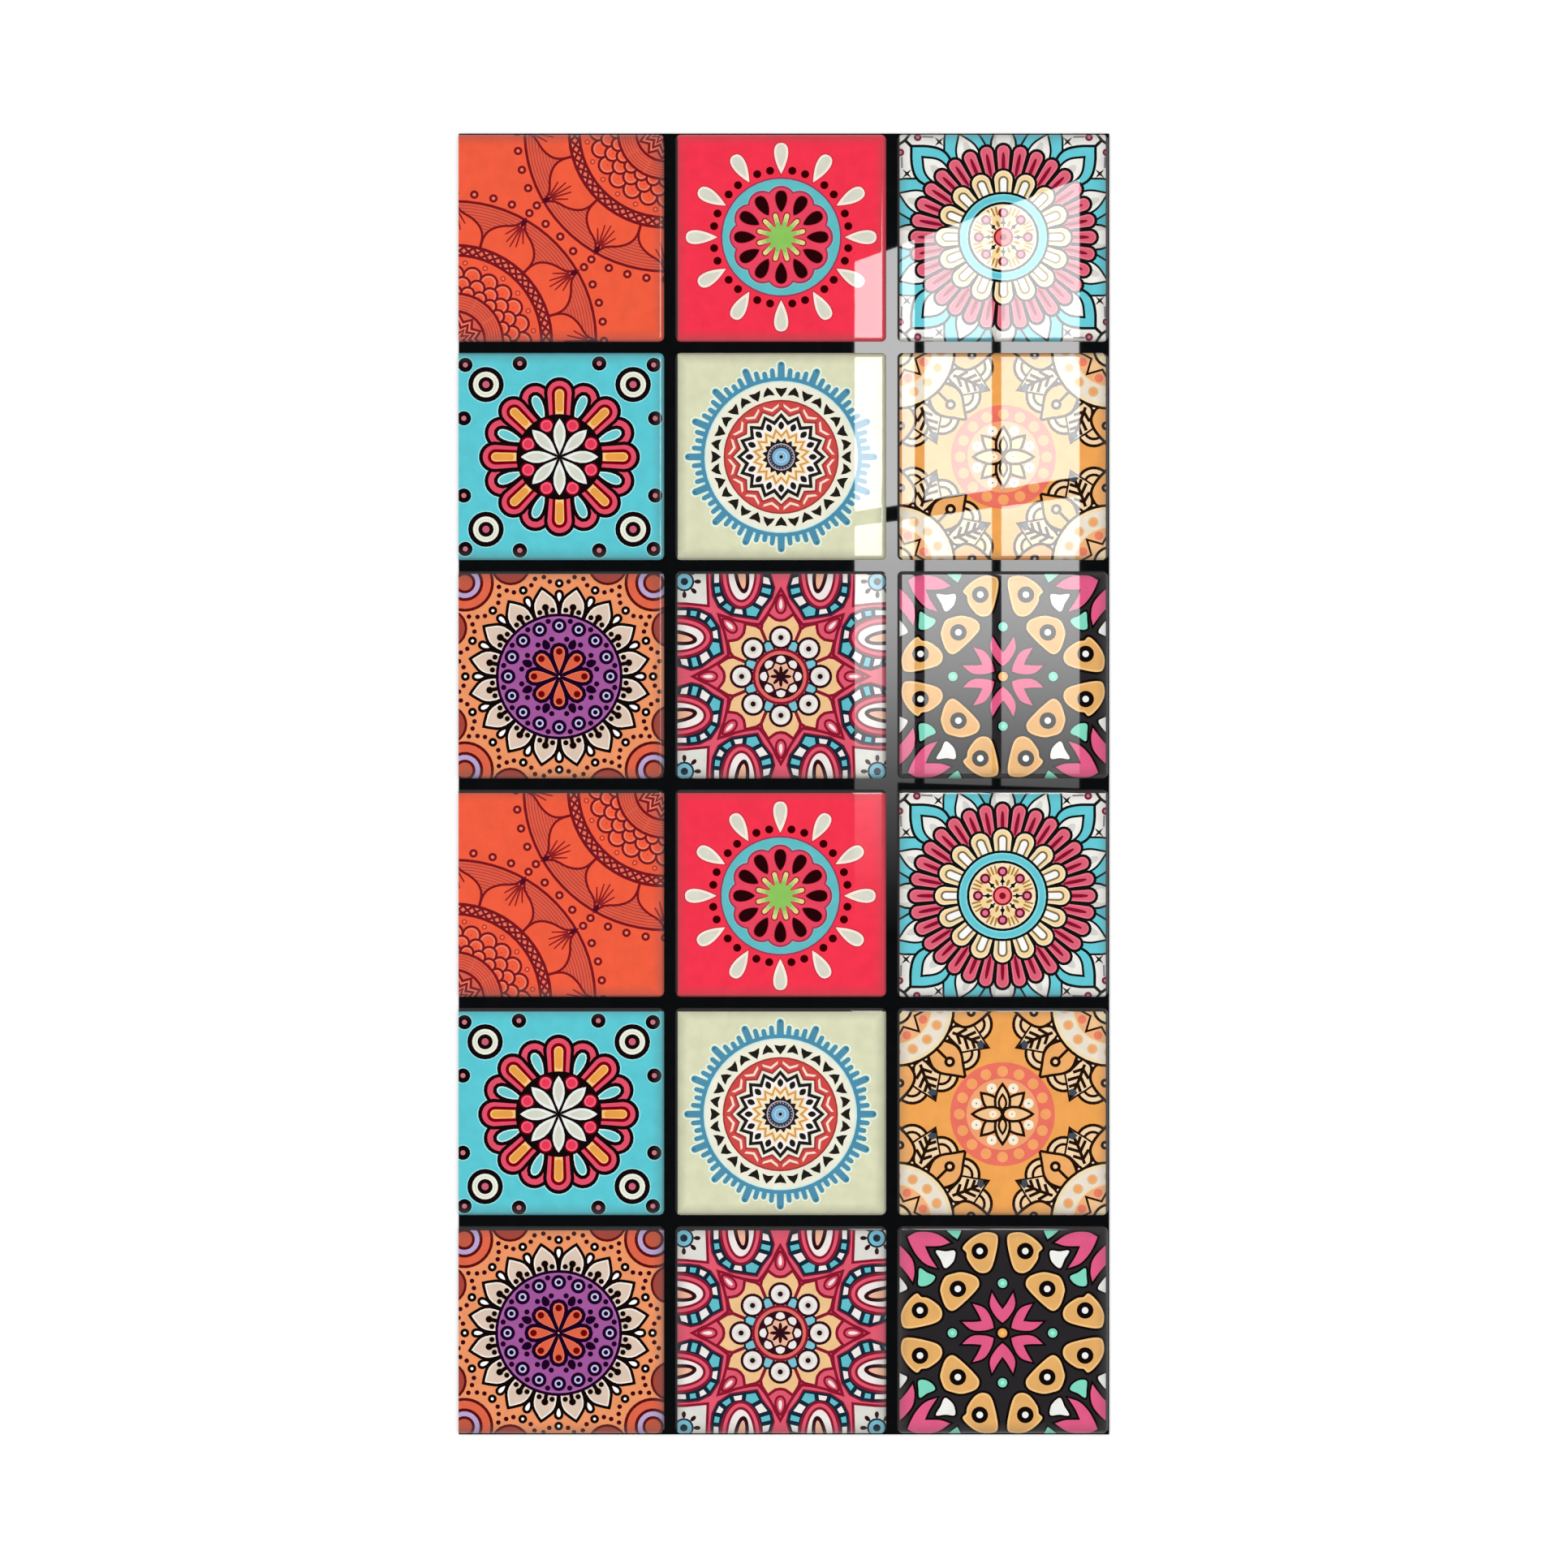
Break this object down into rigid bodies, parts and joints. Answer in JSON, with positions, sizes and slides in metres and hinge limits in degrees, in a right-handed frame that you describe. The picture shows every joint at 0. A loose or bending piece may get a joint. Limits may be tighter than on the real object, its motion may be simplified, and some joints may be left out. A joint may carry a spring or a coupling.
{
  "type": "peel and stick backsplash tile sheet",
  "caption": "Thin glossy plastic backsplash sheet of raised patchwork squares with rolled rims and sunken black joints, adhesive on its flat back.",
  "frame": {"origin": "middle of the adhesive back face, in the plane that lies on the wall", "axes": "+Z out of the printed face, +Y along the sheet towards the top of the picture, +X across the sheet"},
  "size_m": [0.15, 0.3, 0.002],
  "materials": {
    "printed_plastic": "gloss"
  },
  "bodies": {
    "root": {"tile_sheet": "printed_plastic"}
  },
  "joints": []
}
